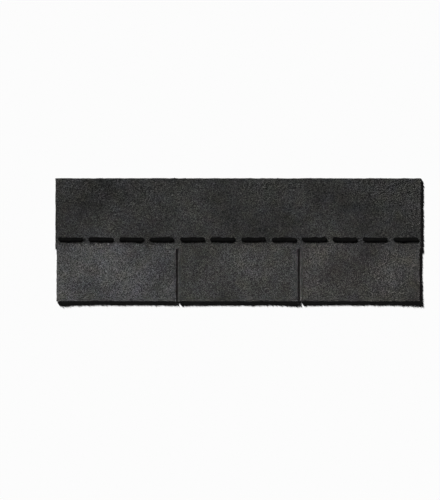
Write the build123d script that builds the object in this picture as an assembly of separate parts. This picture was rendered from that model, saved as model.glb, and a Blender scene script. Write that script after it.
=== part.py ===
from build123d import *
import os

# Three-tab asphalt shingle: one metric strip, lying on its back with the granule face up.
# The origin is the middle of the back. X runs along the strip, Y from the butt edge of the tabs
# towards the top edge of the head lap, and Z out of the granule face. Lengths are millimetres.

# Strip of asphalt-coated glass mat
strip_length = 1000.0
strip_width = 337.0
sheet_thickness = 3.0

# Cutouts that part the lower edge into tabs, with half a cutout at each end of the strip
tab_count = 3
cutout_length = 143.0
cutout_width = 6.4
cutout_head_radius = 2.0

# Self-seal adhesive on the granule face, a row of dashes above the cutouts
seal_dashes_per_tab = 4
seal_rise = 26.0
seal_width = 12.5
seal_gap = 15.0
seal_height = 0.8
seal_edge_radius = 0.5

# Release tape, a film pressed flush into the back so that bundled strips don't stick together
tape_width = 38.0
tape_thickness = 0.05

# How far a cutting shape runs past the edge that it cuts
cut_overrun = 5.0

# The most that a rounding may take of the side that it rounds
head_round_limit_share = 0.45
seal_round_limit_share = 0.8

# Places that several pieces share
tab_pitch = strip_length / tab_count
butt_edge_y = -strip_width / 2
cutout_head_y = butt_edge_y + cutout_length
# The tape lies behind the seal, so in a bundle it meets the seal of the next strip
seal_y = cutout_head_y + seal_rise


def row_along_strip(spacing, count):
    """X of evenly spaced places, centred on the strip."""
    return [(step - (count - 1) / 2) * spacing for step in range(count)]


def strip_outline():
    """The strip seen from above: a rectangle with its cutouts punched out of the butt edge."""
    head_radius = min(cutout_head_radius, head_round_limit_share * cutout_width)
    # The rounded lower end of the punch falls below the butt edge, so only the head stays rounded
    punch = RectangleRounded(
        cutout_width,
        cutout_length + head_radius + cut_overrun,
        head_radius,
        align=(Align.CENTER, Align.MAX),
    )
    punches = [Pos(x, cutout_head_y) * punch for x in row_along_strip(tab_pitch, tab_count + 1)]
    return Rectangle(strip_length, strip_width) - punches


def tape_outline():
    """The tape seen from above: it runs the whole length and is punched together with the strip."""
    return Pos(0, seal_y) * Rectangle(strip_length, tape_width) & strip_outline()


def shingle_sheet():
    """The sheet, with a shallow bed in its back for the tape."""
    return extrude(strip_outline(), sheet_thickness) - extrude(tape_outline(), tape_thickness)


def release_tape():
    """The film that fills the bed in the back."""
    return extrude(tape_outline(), tape_thickness)


def seal_strip():
    """The adhesive dashes, round-ended and soft along their top edge."""
    dash_pitch = tab_pitch / seal_dashes_per_tab
    dash = extrude(SlotOverall(dash_pitch - seal_gap, seal_width), seal_height)
    top_edge = dash.faces().sort_by(Axis.Z)[-1].edges()
    dash = fillet(top_edge, min(seal_edge_radius, seal_round_limit_share * seal_height))
    dash_xs = row_along_strip(dash_pitch, tab_count * seal_dashes_per_tab)
    return Compound([Pos(x, seal_y, sheet_thickness) * dash for x in dash_xs])


os.makedirs("parts", exist_ok=True)
export_step(shingle_sheet(), "parts/shingle_sheet.step")
export_step(release_tape(), "parts/release_tape.step")
export_step(seal_strip(), "parts/seal_strip.step")
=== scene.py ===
# %% [markdown]
# # One strip of three-tab asphalt shingle
# A roofing shingle is a mat of glass fibre soaked and coated with asphalt. Crushed mineral granules
# are rolled into its hot face, and a knife drum then cuts strips with narrow slots that make one strip
# look like three small slates. The solid model gives the strip's size, its slots, the seal dashes and
# the tape on its back. This script dresses those solids: it adds the granules one by one, lets the
# knife wander a little and gives each surface its finish. Everything is in metres, in the solid model's
# own frame.

# %% Load the fixed frame
import math

import bmesh
import bpy
import numpy as np
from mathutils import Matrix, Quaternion, Vector, noise


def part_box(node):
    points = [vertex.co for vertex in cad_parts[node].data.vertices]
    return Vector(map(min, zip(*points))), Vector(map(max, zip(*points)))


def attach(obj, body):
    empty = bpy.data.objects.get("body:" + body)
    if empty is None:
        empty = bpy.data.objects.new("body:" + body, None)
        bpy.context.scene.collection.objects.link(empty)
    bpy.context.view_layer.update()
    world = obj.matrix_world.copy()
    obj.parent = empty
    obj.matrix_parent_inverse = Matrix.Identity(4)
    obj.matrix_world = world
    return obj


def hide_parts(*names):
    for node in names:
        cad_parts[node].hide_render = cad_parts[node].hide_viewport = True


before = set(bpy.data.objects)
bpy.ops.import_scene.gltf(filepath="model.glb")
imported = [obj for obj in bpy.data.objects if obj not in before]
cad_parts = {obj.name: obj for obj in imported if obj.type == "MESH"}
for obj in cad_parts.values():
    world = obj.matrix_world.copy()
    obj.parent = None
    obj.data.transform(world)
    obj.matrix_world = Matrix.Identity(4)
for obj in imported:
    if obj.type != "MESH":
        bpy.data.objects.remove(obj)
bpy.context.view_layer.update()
MM = 0.001

# %% [markdown]
# ## Camera
# The photograph looks square on, so this camera looks straight down on a strip that lies flat. The two
# ends of the strip and its butt edge, the lower edge of its tabs, have known places in the picture.
# Together with the strip's real length they give the scale and the point under the lens. A long lens
# keeps the view nearly parallel, as it is in the photograph.

# %% Camera straight above the strip
image_width_px = 440
image_height_px = 500
left_end_px = 55.3
right_end_px = 421.0
butt_edge_px = 301.4
lens_mm = 135.0
sensor_mm = 36.0

sheet_low, sheet_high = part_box("shingle_sheet")
strip_length = sheet_high.x - sheet_low.x
metres_per_px = strip_length / (right_end_px - left_end_px)
camera_data = bpy.data.cameras.new("camera")
camera_data.lens = lens_mm
camera_data.sensor_width = sensor_mm
camera = bpy.data.objects.new("camera", camera_data)
camera.location = (
    sheet_low.x + (image_width_px / 2 - left_end_px) * metres_per_px,
    sheet_low.y + (butt_edge_px - image_height_px / 2) * metres_per_px,
    sheet_high.z + image_height_px * metres_per_px * lens_mm / sensor_mm,
)
bpy.context.collection.objects.link(camera)
bpy.context.scene.camera = camera
bpy.context.scene.view_settings.view_transform = "Standard"
print("camera at", tuple(camera.location), "with", round(metres_per_px / MM, 3), "mm to a pixel")

# %% [markdown]
# ## Colours and nodes
# Every colour below is written as the hex value that an eye-dropper would read. Shaders work in linear
# light, so one function converts them. A second one adds a node: settings are its own properties, and
# inputs are either plain values or the output of another node, which is then linked.

# %% Helpers for materials
def linear(hex_colour):
    """A hex colour, as read on a screen, in the linear light that shaders use."""
    channels = [int(hex_colour[start:start + 2], 16) / 255 for start in (1, 3, 5)]
    return [c / 12.92 if c <= 0.04045 else ((c + 0.055) / 1.055) ** 2.4 for c in channels] + [1.0]


def add_node(tree, kind, inputs=None, **settings):
    """A new node with its properties set and its inputs filled or linked."""
    node = tree.nodes.new(kind)
    for name, value in settings.items():
        setattr(node, name, value)
    for name, value in (inputs or {}).items():
        if isinstance(value, bpy.types.NodeSocket):
            tree.links.new(value, node.inputs[name])
        else:
            node.inputs[name].default_value = value
    return node


def new_material(name):
    """An empty node material and its tree."""
    material = bpy.data.materials.new(name)
    material.use_nodes = True
    material.node_tree.nodes.clear()
    return material, material.node_tree


print("black reads as", linear("#000000")[:3], "and white as", linear("#ffffff")[:3])

# %% [markdown]
# ## Light
# In the photograph a low light comes from the top left: it fills the slots with shadow, draws a dark line
# under the butt edge and makes the granules stand out. A sun lamp gives that light evenly over the whole
# strip, and a dim white world fills the shadows. Lamp and world add up to 1 on a level surface, so a
# colour renders about as it is written. The camera and mirrorlike surfaces see the world as plain white.

# %% Key light and fill light
key_left_of_top = math.radians(34)
key_elevation = math.radians(10)
key_spread = math.radians(3)
key_level = 0.993
fill_level = 0.007

towards_key = Vector((
    -math.sin(key_left_of_top) * math.cos(key_elevation),
    math.cos(key_left_of_top) * math.cos(key_elevation),
    math.sin(key_elevation),
))
key_data = bpy.data.lights.new("key", "SUN")
# A sun of strength pi gives 1 on a surface that faces it, and less on one that it grazes
key_data.energy = math.pi * key_level / math.sin(key_elevation)
key_data.angle = key_spread
key = bpy.data.objects.new("key", key_data)
key.rotation_euler = towards_key.to_track_quat("Z", "Y").to_euler()
bpy.context.collection.objects.link(key)

world = bpy.data.worlds.new("studio")
bpy.context.scene.world = world
world.use_nodes = True
sky = world.node_tree
sky.nodes.clear()
path = add_node(sky, "ShaderNodeLightPath")
seen = path.outputs["Is Camera Ray"]
for ray in ("Is Glossy Ray", "Is Transmission Ray"):
    either = add_node(sky, "ShaderNodeMath", {0: seen, 1: path.outputs[ray]}, operation="MAXIMUM")
    seen = either.outputs[0]
level = add_node(sky, "ShaderNodeMapRange", {"Value": seen, "To Min": fill_level, "To Max": 1.0})
background = add_node(sky, "ShaderNodeBackground", {
    "Color": linear("#ffffff"),
    "Strength": level.outputs[0],
})
add_node(sky, "ShaderNodeOutputWorld", {"Surface": background.outputs[0]})
print("key light", round(key_data.energy, 2), "from", tuple(towards_key))

# %% [markdown]
# ## Floor
# The photograph's ground is white. A curved studio sweep would hide where floor and background meet, but
# a plain white plane under a white world does so too, and it catches the strip's shadow. It has no gloss,
# so it looks the same from every side.

# %% Matt white floor
floor_half_size = 9.0

paint, tree = new_material("matt white floor paint")
shader = add_node(tree, "ShaderNodeBsdfPrincipled", {
    "Base Color": linear("#fcfcfc"),
    "Roughness": 1.0,
    "Specular IOR Level": 0.0,
})
add_node(tree, "ShaderNodeOutputMaterial", {"Surface": shader.outputs[0]})

bm = bmesh.new()
bmesh.ops.create_grid(bm, x_segments=1, y_segments=1, size=floor_half_size)
floor_mesh = bpy.data.meshes.new("floor")
bm.to_mesh(floor_mesh)
bm.free()
floor_mesh.materials.append(paint)
floor = bpy.data.objects.new("floor", floor_mesh)
bpy.context.collection.objects.link(floor)
print("floor", 2 * floor_half_size, "m wide")

# %% [markdown]
# ## Where the tabs and slots are
# The solid already knows where its slots are, so their places are read from its vertices: those on the
# butt edge come in pairs, the left and right side of each tab, and the lowest ones on the strip's ends
# mark how far up the slots go.

# %% Measure the tabs
same_place = 0.01 * MM
sheet_points = [v.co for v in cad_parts["shingle_sheet"].data.vertices]
butt_y = sheet_low.y
tab_sides = sorted({round(p.x, 6) for p in sheet_points if abs(p.y - butt_y) < same_place})
tabs = list(zip(tab_sides[0::2], tab_sides[1::2]))
slot_head_y = min(p.y for p in sheet_points if abs(p.x - sheet_low.x) < same_place)
tab_pitch = strip_length / len(tabs)


def tab_number(x):
    """Which tab, counted from 0, the places at an array of x belong to."""
    return np.clip((x - sheet_low.x) // tab_pitch, 0, len(tabs) - 1).astype(int)


print(len(tabs), "tabs", [tuple(round(x / MM, 1) for x in tab) for tab in tabs],
      "slots up to", round(slot_head_y / MM, 1))

# %% [markdown]
# ## How the strip lies and where the knife wandered
# A limp sheet never lies dead flat: it keeps a slight wave, and the loose corners of its tabs curl up by
# about a millimetre. A knife also tears asphalt more than it slices it, so the cut edges waver. Each edge
# could be pushed about by itself, but one gentle warp of the whole plane does it for all of them, and
# inside the strip nobody sees it. The sheet, the seal, the tape and the granules are all settled by the
# same formulas, so they stay together.

# %% Wave, curl and warp
wave_height = 0.3 * MM
wave_length = 430 * MM
wave_turn = 0.8
curl_heights = [0.7 * MM, 0.3 * MM, 0.5 * MM, 0.8 * MM, 0.4 * MM, 0.9 * MM]
curl_reach_x = 45 * MM
curl_reach_y = 38 * MM
warp_depth = 0.8 * MM
warp_length = 15 * MM
warp_octaves = 4
# Vector noise takes its offsets from the clock unless it is given a seed
noise.seed_set(4)


def lift(x, y):
    """Height of the sheet's back above the floor, for arrays of places."""
    wave = np.sin(2 * np.pi * x / wave_length + wave_turn) * np.cos(np.pi * y / wave_length)
    height = wave_height * (1 + wave) / 2
    for number, tab in enumerate(tabs):
        for corner, corner_x in enumerate(tab):
            curl = curl_heights[2 * number + corner]
            near = np.exp(-((x - corner_x) / curl_reach_x) ** 2 - ((y - butt_y) / curl_reach_y) ** 2)
            height = height + np.where(tab_number(x) == number, curl * near, 0)
    return height


def warp(x, y):
    """Sideways shift of the material at a place."""
    place = (x / warp_length, y / warp_length, 0)
    return noise.turbulence_vector(place, warp_octaves, False)[:2]


def settle(points):
    """Points of the flat strip, moved to where the real one lies."""
    flat = np.array(points, float)
    settled = flat.copy()
    settled[:, :2] += warp_depth * np.array([warp(x, y) for x, y in flat[:, :2]])
    settled[:, 2] += lift(flat[:, 0], flat[:, 1])
    return settled


corners = [(x, butt_y, 0) for tab in tabs for x in tab]
print("tab corners lie at", (settle(corners) / MM).round(1).tolist())

# %% [markdown]
# ## From a solid to a piece
# The strip's pieces could be modelled from planes, but the solids already have the outline, the slots and
# the bed for the tape. So a piece starts as a copy of its solid, with the loose triangles merged into
# whole faces. It is then cut into small cells, because a face without points inside can't bend, and is
# settled with the formulas above.

# %% Copy, cut and settle a solid
sheet_cell = 4 * MM
merge_angle = math.radians(1)


def copy_of_solid(node):
    """A mesh of a solid's node with its triangles merged into whole faces."""
    bm = bmesh.new()
    bm.from_mesh(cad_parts[node].data)
    bmesh.ops.remove_doubles(bm, verts=bm.verts, dist=same_place)
    bmesh.ops.dissolve_limit(bm, angle_limit=merge_angle, verts=bm.verts, edges=bm.edges)
    return bm


def cut_across(bm, axis, cell):
    """Cut a mesh into cells of even width along one axis."""
    places = [v.co[axis] for v in bm.verts]
    count = round((max(places) - min(places)) / cell)
    normal = Vector((0, 0, 0))
    normal[axis] = 1
    for place in np.linspace(min(places), max(places), count + 1)[1:-1]:
        geometry = bm.verts[:] + bm.edges[:] + bm.faces[:]
        bmesh.ops.bisect_plane(bm, geom=geometry, dist=same_place, plane_co=normal * place, plane_no=normal)


def settled_object(name, bm):
    """An object at the origin from a bmesh, which is settled first."""
    for vertex, place in zip(bm.verts, settle([v.co for v in bm.verts])):
        vertex.co = place
    mesh = bpy.data.meshes.new(name)
    bm.to_mesh(mesh)
    bm.free()
    piece = bpy.data.objects.new(name, mesh)
    bpy.context.collection.objects.link(piece)
    print(name, len(mesh.polygons), "faces")
    return piece


print("solids to copy:", sorted(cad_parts))

# %% [markdown]
# ## The asphalt sheet
# The body of the strip is the mat with its asphalt. Its face is lowered to leave room for the granules,
# which are added later, and its shoulders are rounded, because the knife pulls the soft asphalt down with
# it. Face, cut edges and back get a finish of their own, so each is marked with a number now, and every
# point remembers its height in the sheet.

# %% Lower, round and mark the sheet
granule_bed = 0.7 * MM
shoulder_radius = 0.7 * MM
shoulder_steps = 2
least_tilt = 0.3
FACE, CUT_EDGE, BACK = 0, 1, 2


def surface_of(face):
    """Which surface of the sheet a face belongs to, by the way it looks."""
    if face.normal.z > least_tilt:
        return FACE
    if face.normal.z < -least_tilt:
        return BACK
    return CUT_EDGE


bm = copy_of_solid("shingle_sheet")
for vertex in bm.verts:
    if vertex.co.z > sheet_high.z - same_place:
        vertex.co.z -= granule_bed
top_face = max(bm.faces, key=lambda face: face.calc_center_median().z)
bmesh.ops.bevel(
    bm,
    geom=top_face.edges[:],
    offset=shoulder_radius,
    segments=shoulder_steps,
    profile=0.5,
    affect="EDGES",
    material=-1,
)
cut_across(bm, 0, sheet_cell)
cut_across(bm, 1, sheet_cell)
bm.normal_update()
for face in bm.faces:
    face.material_index = surface_of(face)
height_in_sheet = bm.verts.layers.float.new("height_in_sheet")
for vertex in bm.verts:
    vertex[height_in_sheet] = vertex.co.z
sheet = settled_object("asphalt_sheet", bm)

# %% [markdown]
# ## Self-seal dashes
# Above the slots the factory lays a row of soft asphalt dashes. Once the strip is on the roof, the sun
# melts them and they glue down the next course. They are poured hot, so they are crowned, their sides
# swell and narrow, and they sink between the granules. A copy of the solid dashes is cut into cells and
# its points are moved that way.

# %% Copy, cut, crown and ripple
seal_low, seal_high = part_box("seal_strip")
seal_y = (seal_low.y + seal_high.y) / 2
seal_half_width = (seal_high.y - seal_low.y) / 2
seal_height = seal_high.z - seal_low.z
seal_cell = 2.5 * MM
seal_crown = 0.25 * MM
seal_ripple = 0.35 * MM
seal_swell = 1.4 * MM
seal_ripple_length = 15 * MM

bm = copy_of_solid("seal_strip")
cut_across(bm, 0, seal_cell)
cut_across(bm, 1, seal_cell)
# A dash ends where the next point along the strip is more than a cell or two away
seal_xs = np.array(sorted(v.co.x for v in bm.verts))
breaks = np.flatnonzero(np.diff(seal_xs) > 2 * seal_cell)
dashes = list(zip(seal_xs[[0, *(breaks + 1)]], seal_xs[[*breaks, -1]]))
for vertex in bm.verts:
    rise = (vertex.co.z - seal_low.z) / seal_height
    across = (vertex.co.y - seal_y) / seal_half_width
    ripple = noise.noise_vector(vertex.co / seal_ripple_length)
    vertex.co.x += seal_swell * ripple.x
    vertex.co.y += seal_swell * ripple.y * across
    vertex.co.z += rise * (seal_ripple * ripple.z - seal_crown * across ** 2) - (1 - rise) * granule_bed
for face in bm.faces:
    face.smooth = True
seal = settled_object("seal_dashes", bm)
print(len(dashes), "dashes, each about", round((dashes[0][1] - dashes[0][0]) / MM, 1), "mm long")

# %% [markdown]
# ## Release tape
# A film on the back lies where the seal of the next strip in the bundle would touch it, so that strips
# don't stick together. It is as thin as a hair, and the solid is already right, so a copy only has to be
# cut into the sheet's cells and settled with the sheet.

# %% Copy and cut
bm = copy_of_solid("release_tape")
cut_across(bm, 0, sheet_cell)
cut_across(bm, 1, sheet_cell)
tape = settled_object("release_tape_film", bm)

# %% [markdown]
# ## Granule shapes
# Roofing granules are crushed rock with flat broken sides and sharp corners. An eight-sided crystal with
# its corners knocked about looks just like that and costs only eight triangles. Each one is rolled over
# at random, so some show a flat side, some a ridge and some a point, and then pressed flatter, as the
# roller beds them. A few dozen are enough, since each is turned and sized at random later.

# %% A few dozen crushed chips
# The seed makes every run draw the same numbers
chance = np.random.default_rng(20)
chip_kinds = 48
chip_knock = 0.14
chip_flatness = 0.52
chip_narrowest = 0.75


def crushed_chip():
    """Corners and faces of one chip that is about 1 across."""
    bm = bmesh.new()
    bmesh.ops.create_uvsphere(bm, u_segments=4, v_segments=2, radius=0.5)
    for vertex in bm.verts:
        vertex.co += Vector(chance.uniform(-chip_knock, chip_knock, 3))
    rolled = Quaternion(chance.normal(size=4)).normalized().to_matrix()
    bmesh.ops.rotate(bm, verts=bm.verts, matrix=rolled)
    bmesh.ops.scale(bm, verts=bm.verts, vec=(1, chance.uniform(chip_narrowest, 1), chip_flatness))
    bmesh.ops.recalc_face_normals(bm, faces=bm.faces)
    corners = np.array([vertex.co[:] for vertex in bm.verts])
    faces = np.array([[vertex.index for vertex in face.verts] for face in bm.faces])
    bm.free()
    return corners, faces


chips = [crushed_chip() for kind in range(chip_kinds)]
chip_corners = np.array([corners for corners, faces in chips])
chip_faces = np.array([faces for corners, faces in chips])
print(chip_kinds, "chips with", chip_corners.shape[1], "corners and", chip_faces.shape[1], "faces each")

# %% [markdown]
# ## Where each granule goes
# Scattering by a particle system would work, but arrays are quicker and give full control: a grid with
# every place shaken, and a random turn for each granule. None is sown under the seal dashes, where nobody
# would see it. Real granules are 1 to 1.7 mm across and lie closer. These are about half as large again, so
# that every one of them can be modelled.

# %% Places and turns
granule_pitch = 1.9 * MM
place_shake = 0.42
seal_cover = 1.5 * MM


def granule_places(low_x, high_x, low_y, high_y):
    """Shaken places that cover a rectangle, apart from the seal dashes."""
    columns = round((high_x - low_x) / granule_pitch)
    rows = round((high_y - low_y) / granule_pitch)
    step_x = (high_x - low_x) / columns
    step_y = (high_y - low_y) / rows
    column, row = np.meshgrid(np.arange(columns), np.arange(rows))
    shake = chance.uniform(-place_shake, place_shake, (2, columns * rows))
    x = low_x + (column.ravel() + 0.5 + shake[0]) * step_x
    y = low_y + (row.ravel() + 0.5 + shake[1]) * step_y
    hidden = np.zeros(len(x), bool)
    for start, end in dashes:
        hidden |= (x > start + seal_half_width) & (x < end - seal_half_width)
    hidden &= abs(y - seal_y) < seal_half_width - seal_cover
    return x[~hidden], y[~hidden]


def turns(count):
    """Random turns about the upright axis, as matrices."""
    turn = chance.uniform(0, 2 * np.pi, count)
    matrices = np.zeros((count, 3, 3))
    matrices[:, 0, 0] = matrices[:, 1, 1] = np.cos(turn)
    matrices[:, 1, 0] = np.sin(turn)
    matrices[:, 0, 1] = -np.sin(turn)
    matrices[:, 2, 2] = 1
    return matrices


print("one granule to every", round(granule_pitch / MM, 2), "mm")

# %% [markdown]
# ## Which blend falls where
# The coater drops a different blend of granules every few hundred millimetres, so the tabs differ a
# little. The head lap, which the next course covers, gets a plain dark blend. Where two blends meet they
# mix, so each granule's place is shaken before it is looked up. A blend is written as the strength of red,
# green and blue that its granules have.

# %% Blends of the tabs and of the head lap
tab_blends = np.array([(1.91, 1.91, 1.98), (1.29, 1.28, 1.27), (1.2, 1.16, 1.14)])
lap_blend = (0.87, 0.87, 0.87)
lap_starts_above_slots = 13 * MM
blend_mixing = 4 * MM


def blend_at(x, y):
    """Red, green and blue strength of the granules at arrays of places."""
    mixed_x = x + chance.normal(0, blend_mixing, len(x)) * (y > slot_head_y)
    mixed_y = y + chance.normal(0, blend_mixing, len(x))
    on_lap = mixed_y > slot_head_y + lap_starts_above_slots
    return np.where(on_lap[:, None], lap_blend, tab_blends[tab_number(mixed_x)])


print("the plain blend starts", round(lap_starts_above_slots / MM), "mm above the slots")

# %% [markdown]
# ## A field of granules
# On the real strip each granule sits half sunk in the asphalt. An object for each of them would choke
# Blender, so a whole field is joined into one mesh, straight from the arrays. A granule carries a tone
# between 0 and 1, which the material turns into its colour, and the strength of its blend.

# %% One mesh of many granules
granule_size = 2.75 * MM
granule_size_spread = 0.17
granule_rise = 0.12 * MM


def sow(name, low_x, high_x, low_y, high_y):
    """One mesh of granules over a rectangle of the face."""
    x, y = granule_places(low_x, high_x, low_y, high_y)
    count = len(x)
    kind = chance.integers(chip_kinds, size=count)
    size = granule_size * np.exp(chance.normal(0, granule_size_spread, count))
    z = np.full(count, sheet_high.z - granule_bed + granule_rise)
    corners = np.einsum("nij,nkj->nki", turns(count), chip_corners[kind] * size[:, None, None])
    corners += settle(np.stack([x, y, z], 1))[:, None, :]
    per_chip = chip_corners.shape[1]
    faces = chip_faces[kind] + (np.arange(count) * per_chip)[:, None, None]

    points = corners.reshape(-1, 3)
    triangles = faces.reshape(-1, 3)
    mesh = bpy.data.meshes.new(name)
    # Broken rock has flat sides with hard edges. Hard edges make the exported file larger, so the sides
    # that look down, which nobody sees, are left smooth
    mesh.from_pydata(points, [], triangles, shade_flat=True)
    normals = np.empty(triangles.size, np.float32)
    mesh.polygons.foreach_get("normal", normals)
    mesh.polygons.foreach_set("use_smooth", normals[2::3] < 0)
    tone = mesh.attributes.new("granule_tone", "FLOAT", "POINT")
    tone.data.foreach_set("value", np.repeat(chance.random(count), per_chip).astype(np.float32))
    blend = mesh.attributes.new("granule_blend", "FLOAT_VECTOR", "POINT")
    blend.data.foreach_set("vector", np.repeat(blend_at(x, y), per_chip, 0).astype(np.float32).ravel())

    # A map seen from above, so that the colours can be baked onto so many small pieces
    flat = mesh.uv_layers.new(name="OFBake")
    seen_from_above = points[triangles.ravel(), :2]
    spread = (seen_from_above - seen_from_above.min(0)) / np.ptp(seen_from_above, axis=0)
    flat.data.foreach_set("uv", spread.astype(np.float32).ravel())
    piece = bpy.data.objects.new(name, mesh)
    bpy.context.collection.objects.link(piece)
    print(name, count, "granules,", len(mesh.polygons), "triangles")
    return piece


print("granules about", round(granule_size / MM, 2), "mm across")

# %% [markdown]
# ## Sowing
# About ninety thousand granules cover the face. One mesh of all of them would be heavy to handle, so each
# tab and each third of the head lap gets its own. They stop just short of the cut edges, where the knife
# knocks them off.

# %% Sow the tabs and the head lap
edge_margin = 0.7 * MM

granules = []
for number, (left, right) in enumerate(tabs, 1):
    granules.append(sow(
        f"tab_granules_{number}",
        left + edge_margin, right - edge_margin, butt_y + edge_margin, slot_head_y,
    ))
lap_sides = np.linspace(sheet_low.x + edge_margin, sheet_high.x - edge_margin, len(tabs) + 1)
for number, (left, right) in enumerate(zip(lap_sides, lap_sides[1:]), 1):
    granules.append(sow(f"lap_granules_{number}", left, right, slot_head_y, sheet_high.y - edge_margin))

# %% [markdown]
# ## Granule finish
# The granules are basalt with a fired ceramic colour coat: matt, and a blend of black, charcoal and grey
# with a few light ones. The blend is never even, so the strip shows soft patches, some bluish and some
# brownish. Each granule looks up its own colour in a ramp, and two broad noises shift it.

# %% Ceramic-coated basalt
tone_stops = [(0.0, "#242424"), (0.3, "#333333"), (0.6, "#434342"), (1.0, "#545452")]
patch_size = 150 * MM
patch_strength = 0.5
# Noise seldom leaves this range
noise_low = 0.25
noise_high = 0.75
tint_size = 34 * MM
tint_strengths = np.array((0.07, 0.05, 0.15))

basalt, tree = new_material("ceramic coated basalt granules")
place = add_node(tree, "ShaderNodeTexCoord")
tone = add_node(tree, "ShaderNodeAttribute", attribute_name="granule_tone")
blend = add_node(tree, "ShaderNodeAttribute", attribute_name="granule_blend")
kinds = add_node(tree, "ShaderNodeValToRGB", {"Fac": tone.outputs["Fac"]})
ramp = kinds.color_ramp.elements
while len(ramp) < len(tone_stops):
    ramp.new(0.5)
for stop, (where, colour) in zip(ramp, tone_stops):
    stop.position = where
    stop.color = linear(colour)
patches = add_node(tree, "ShaderNodeTexNoise", {
    "Vector": place.outputs["Object"],
    "Scale": 1 / patch_size,
    "Detail": 3.0,
    "Roughness": 0.5,
})
patch_level = add_node(tree, "ShaderNodeMapRange", {
    "Value": patches.outputs["Fac"],
    "From Min": noise_low,
    "From Max": noise_high,
    "To Min": 1 - patch_strength,
    "To Max": 1 + patch_strength,
})
tints = add_node(tree, "ShaderNodeTexNoise", {
    "Vector": place.outputs["Object"],
    "Scale": 1 / tint_size,
    "Detail": 1.0,
})
tint = add_node(tree, "ShaderNodeVectorMath", {
    0: tints.outputs["Color"],
    1: 2 * tint_strengths,
    2: 1 - tint_strengths,
}, operation="MULTIPLY_ADD")
colour = kinds.outputs["Color"]
for shift in (blend.outputs["Vector"], patch_level.outputs[0], tint.outputs[0]):
    product = add_node(tree, "ShaderNodeVectorMath", {0: colour, 1: shift}, operation="MULTIPLY")
    colour = product.outputs[0]
shader = add_node(tree, "ShaderNodeBsdfPrincipled", {
    "Base Color": colour,
    "Roughness": 0.8,
    "Specular IOR Level": 0.06,
})
add_node(tree, "ShaderNodeOutputMaterial", {"Surface": shader.outputs[0]})
for piece in granules:
    piece.data.materials.append(basalt)
print("patches of", round(patch_size / MM), "mm and tints of", round(tint_size / MM), "mm")

# %% [markdown]
# ## Fine granules between the large ones
# Smaller granules fill the gaps, bedded in black asphalt. There are far too many to model, so this is
# where a pattern does better: each cell of a Voronoi pattern is one small granule, with a tone of its own
# and a rounded top, and the asphalt shows as the dark line between cells.

# %% Fine granules in asphalt
fine_size = 1.2 * MM
fine_height = 0.5 * MM

fines, tree = new_material("fine granules bedded in asphalt")
place = add_node(tree, "ShaderNodeTexCoord")
cells = add_node(tree, "ShaderNodeTexVoronoi", {
    "Vector": place.outputs["Object"],
    "Scale": 1 / fine_size,
})
fine_tone = add_node(tree, "ShaderNodeMix", {
    "Factor": cells.outputs["Color"],
    "A": linear("#2a2a2a"),
    "B": linear("#555553"),
}, data_type="RGBA")
fine_colour = add_node(tree, "ShaderNodeMix", {
    "Factor": cells.outputs["Distance"],
    "A": fine_tone.outputs["Result"],
    "B": linear("#050505"),
}, data_type="RGBA")
relief = add_node(tree, "ShaderNodeBump", {
    "Height": cells.outputs["Distance"],
    "Distance": fine_height,
}, invert=True)
shader = add_node(tree, "ShaderNodeBsdfPrincipled", {
    "Base Color": fine_colour.outputs["Result"],
    "Roughness": 0.85,
    "Specular IOR Level": 0.06,
    "Normal": relief.outputs["Normal"],
})
add_node(tree, "ShaderNodeOutputMaterial", {"Surface": shader.outputs[0]})
sheet.data.materials.append(fines)
print("fine granules of", round(fine_size / MM, 1), "mm")

# %% [markdown]
# ## Cut edge
# The knife bares the inside of the sheet: black asphalt stiffened with ground limestone, and in its middle
# the mat of glass fibres as a paler, broken line. The line could be modelled, but it is under a millimetre
# high, so the material draws it from the height that every point of the sheet remembers.

# %% Filled asphalt with a line of glass mat
mat_height = 1.2 * MM
mat_half_thickness = 0.35 * MM
fibre_length = 5 * MM
# Ground limestone is finer than this, but then it wouldn't show
filler_size = 0.9 * MM
edge_bump_depth = 0.3 * MM

cut_edge, tree = new_material("cut filled asphalt with glass mat")
place = add_node(tree, "ShaderNodeTexCoord")
filler = add_node(tree, "ShaderNodeTexNoise", {
    "Vector": place.outputs["Object"],
    "Scale": 1 / filler_size,
    "Detail": 2.0,
})
fibres = add_node(tree, "ShaderNodeTexNoise", {
    "Vector": place.outputs["Object"],
    "Scale": 1 / fibre_length,
    "Detail": 4.0,
    "Roughness": 0.7,
})
height = add_node(tree, "ShaderNodeAttribute", attribute_name="height_in_sheet")
in_mat = add_node(tree, "ShaderNodeMath", {
    0: height.outputs["Fac"],
    1: mat_height,
    2: mat_half_thickness,
}, operation="COMPARE")
broken = add_node(tree, "ShaderNodeMath", {
    0: in_mat.outputs[0],
    1: fibres.outputs["Fac"],
}, operation="MULTIPLY")
asphalt_colour = add_node(tree, "ShaderNodeMix", {
    "Factor": filler.outputs["Fac"],
    "A": linear("#030303"),
    "B": linear("#131312"),
}, data_type="RGBA")
edge_colour = add_node(tree, "ShaderNodeMix", {
    "Factor": broken.outputs[0],
    "A": asphalt_colour.outputs["Result"],
    "B": linear("#312f2b"),
}, data_type="RGBA")
relief = add_node(tree, "ShaderNodeBump", {"Height": filler.outputs["Fac"], "Distance": edge_bump_depth})
shader = add_node(tree, "ShaderNodeBsdfPrincipled", {
    "Base Color": edge_colour.outputs["Result"],
    "Roughness": 0.6,
    "Specular IOR Level": 0.1,
    "Normal": relief.outputs["Normal"],
})
add_node(tree, "ShaderNodeOutputMaterial", {"Surface": shader.outputs[0]})
sheet.data.materials.append(cut_edge)
print("mat line", round(2 * mat_half_thickness / MM, 1), "mm high")

# %% [markdown]
# ## Sanded back
# While it is hot the back is dusted with fine sand so that the sheet can run over rollers and lie on other
# sheets. Most of the sand sinks in, and what stays on top shows as pale specks on dull black. Cells of a
# Voronoi pattern, of which only the smallest distances are kept, give such separate specks.

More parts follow.
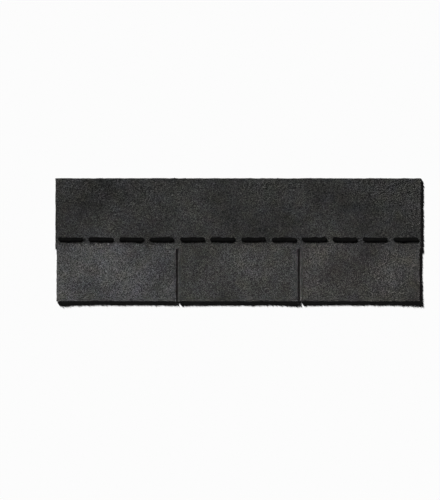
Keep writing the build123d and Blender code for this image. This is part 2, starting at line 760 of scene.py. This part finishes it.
# %% Sand-dusted asphalt
# Real grains are about 0.3 mm, too fine to show, so they are drawn three times as coarse
sand_size = 0.9 * MM
sand_spacing = 2.2 * MM
streak_size = 40 * MM
sand_bump_depth = 0.25 * MM

back, tree = new_material("sand dusted asphalt back")
place = add_node(tree, "ShaderNodeTexCoord")
cells = add_node(tree, "ShaderNodeTexVoronoi", {
    "Vector": place.outputs["Object"],
    "Scale": 1 / sand_spacing,
})
grain = add_node(tree, "ShaderNodeMapRange", {
    "Value": cells.outputs["Distance"],
    "From Min": sand_size / 2 / sand_spacing,
    "From Max": sand_size / sand_spacing,
    "To Min": 1.0,
    "To Max": 0.0,
})
streaks = add_node(tree, "ShaderNodeTexNoise", {
    "Vector": place.outputs["Object"],
    "Scale": 1 / streak_size,
    "Detail": 4.0,
})
ground = add_node(tree, "ShaderNodeMix", {
    "Factor": streaks.outputs["Fac"],
    "A": linear("#121212"),
    "B": linear("#32312f"),
}, data_type="RGBA")
sand_colour = add_node(tree, "ShaderNodeMix", {
    "Factor": cells.outputs["Color"],
    "A": linear("#3b3a37"),
    "B": linear("#86827a"),
}, data_type="RGBA")
back_colour = add_node(tree, "ShaderNodeMix", {
    "Factor": grain.outputs[0],
    "A": ground.outputs["Result"],
    "B": sand_colour.outputs["Result"],
}, data_type="RGBA")
relief = add_node(tree, "ShaderNodeBump", {"Height": grain.outputs[0], "Distance": sand_bump_depth})
shader = add_node(tree, "ShaderNodeBsdfPrincipled", {
    "Base Color": back_colour.outputs["Result"],
    "Roughness": 0.85,
    "Specular IOR Level": 0.15,
    "Normal": relief.outputs["Normal"],
})
add_node(tree, "ShaderNodeOutputMaterial", {"Surface": shader.outputs[0]})
sheet.data.materials.append(back)
print("sand grains", round(sand_size / MM, 1), "mm wide,", round(sand_spacing / MM, 1), "mm apart")

# %% [markdown]
# ## Seal finish
# Sealant is asphalt made rubbery with polymer. It cools to a black skin with shallow dimples, and dust
# soon dulls it, most of all on the bumps. One noise drives the dimples, the dullness and the slight
# change of colour, because on the real thing they go together. Its gloss is kept very low, because the
# light here is so flat that a glossier black would shine like white paint from the far side.

# %% Modified asphalt sealant
dimple_size = 6 * MM
dimple_depth = 0.5 * MM
dust_starts = 0.35
dust_full = 0.7
clean_roughness = 0.8
dusty_roughness = 1.0

sealant, tree = new_material("polymer modified asphalt sealant")
place = add_node(tree, "ShaderNodeTexCoord")
dimples = add_node(tree, "ShaderNodeTexNoise", {
    "Vector": place.outputs["Object"],
    "Scale": 1 / dimple_size,
    "Detail": 3.0,
    "Roughness": 0.45,
})
dullness = add_node(tree, "ShaderNodeMapRange", {
    "Value": dimples.outputs["Fac"],
    "From Min": dust_starts,
    "From Max": dust_full,
    "To Min": clean_roughness,
    "To Max": dusty_roughness,
})
seal_colour = add_node(tree, "ShaderNodeMix", {
    "Factor": dimples.outputs["Fac"],
    "A": linear("#050506"),
    "B": linear("#141413"),
}, data_type="RGBA")
relief = add_node(tree, "ShaderNodeBump", {"Height": dimples.outputs["Fac"], "Distance": dimple_depth})
shader = add_node(tree, "ShaderNodeBsdfPrincipled", {
    "Base Color": seal_colour.outputs["Result"],
    "Roughness": dullness.outputs[0],
    "Specular IOR Level": 0.005,
    "Normal": relief.outputs["Normal"],
})
add_node(tree, "ShaderNodeOutputMaterial", {"Surface": shader.outputs[0]})
seal.data.materials.append(sealant)
print("dimples of", round(dimple_size / MM), "mm")

# %% [markdown]
# ## Tape finish
# The tape is clear polyester with a silicone coat, so it looks pale grey over the dark back, smooth and a
# little shiny. It was rolled onto a warm, rough sheet, so it has fine wrinkles across its length: a noise
# that is stretched across the tape.

# %% Silicone-coated polyester film
wrinkle_width = 5 * MM
wrinkle_length = 45 * MM
wrinkle_depth = 0.3 * MM

film, tree = new_material("silicone coated polyester film")
place = add_node(tree, "ShaderNodeTexCoord")
stretched = add_node(tree, "ShaderNodeMapping", {
    "Vector": place.outputs["Object"],
    "Scale": (1 / wrinkle_width, 1 / wrinkle_length, 1 / wrinkle_length),
})
wrinkles = add_node(tree, "ShaderNodeTexNoise", {
    "Vector": stretched.outputs[0],
    "Scale": 1.0,
    "Detail": 3.0,
})
film_colour = add_node(tree, "ShaderNodeMix", {
    "Factor": wrinkles.outputs["Fac"],
    "A": linear("#92928d"),
    "B": linear("#c4c4be"),
}, data_type="RGBA")
relief = add_node(tree, "ShaderNodeBump", {"Height": wrinkles.outputs["Fac"], "Distance": wrinkle_depth})
shader = add_node(tree, "ShaderNodeBsdfPrincipled", {
    "Base Color": film_colour.outputs["Result"],
    "Roughness": 0.25,
    "IOR": 1.6,
    "Normal": relief.outputs["Normal"],
})
add_node(tree, "ShaderNodeOutputMaterial", {"Surface": shader.outputs[0]})
tape.data.materials.append(film)
print("wrinkles", round(wrinkle_width / MM), "mm wide")

# %% [markdown]
# ## Fastening
# Nothing on the strip moves, so every piece rides on its one body. The sheet, the seal and the tape stand
# for their solids, which are hidden. A table lists each piece with the name of its finish in the part's
# record; the loop below only fastens the pieces.

# %% Fasten the pieces to the frame
slots = {sheet: "granule_sheet", seal: "seal_asphalt", tape: "release_film"}
slots.update({piece: "granule_sheet" for piece in granules})
for piece, slot in slots.items():
    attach(piece, "root")
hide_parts("shingle_sheet")
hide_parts("seal_strip")
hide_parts("release_tape")
print(len(slots), "pieces ride on the root")
